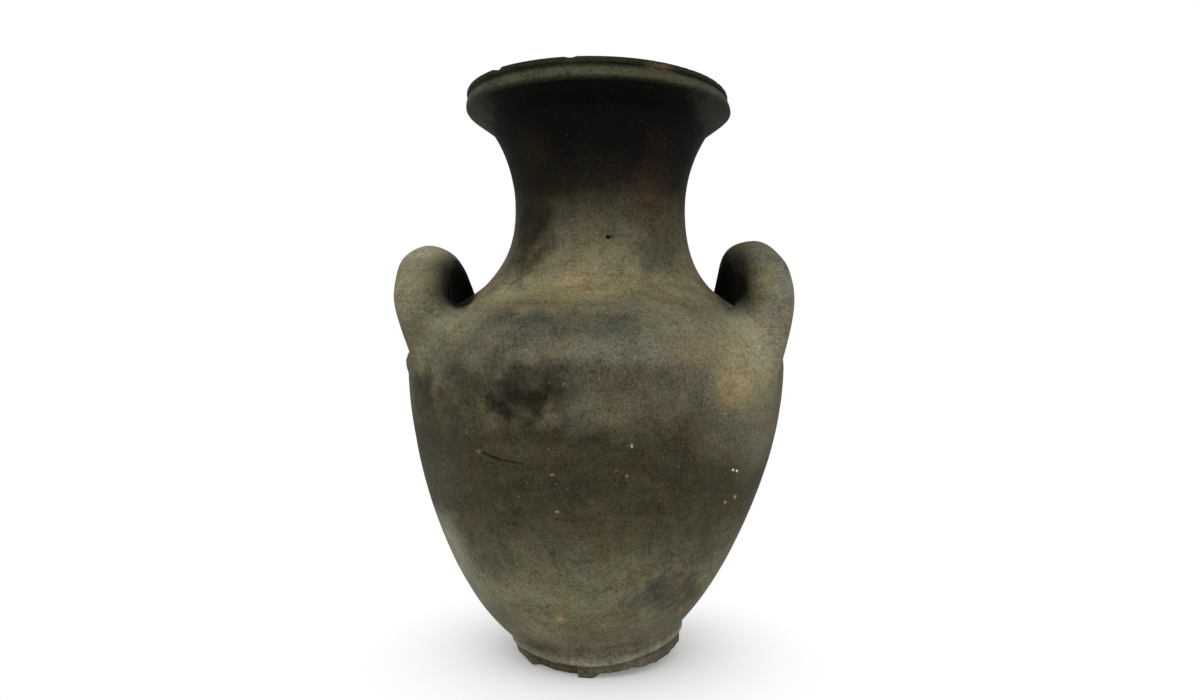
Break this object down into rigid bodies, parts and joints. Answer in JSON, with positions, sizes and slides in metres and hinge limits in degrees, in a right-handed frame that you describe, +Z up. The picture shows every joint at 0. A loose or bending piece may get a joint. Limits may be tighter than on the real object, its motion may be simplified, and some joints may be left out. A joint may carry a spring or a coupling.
{
  "type": "hydria water jar",
  "caption": "Fired clay water jar with a full belly, sloping shoulder, flared neck, heavy rolled rim, looped side handles and an upright back handle on a worn foot ring.",
  "frame": {"origin": "centre of the jar's outline on the ground plane, under the foot ring", "axes": "+Z up the jar's axis, +X towards the right side handle seen from the front, -Y towards the front, +Y towards the back handle"},
  "size_m": [0.2567, 0.256, 0.385],
  "materials": {
    "burnished_clay": "burnished, softly sheeny, grey-olive with lighter ochre and darker smoky patches",
    "luting_clay": "smoothed, semi-matte",
    "broken_clay": "matte, granular where broken"
  },
  "bodies": {
    "root": {"lower_body": "burnished_clay", "shoulder": "burnished_clay", "neck": "burnished_clay", "rim": "burnished_clay", "foot_ring": "broken_clay", "foot_luting": "luting_clay", "left_handle": "burnished_clay", "right_handle": "burnished_clay", "back_handle": "burnished_clay", "left_handle_luting": "luting_clay", "right_handle_luting": "luting_clay", "back_handle_luting": "luting_clay"}
  },
  "joints": []
}
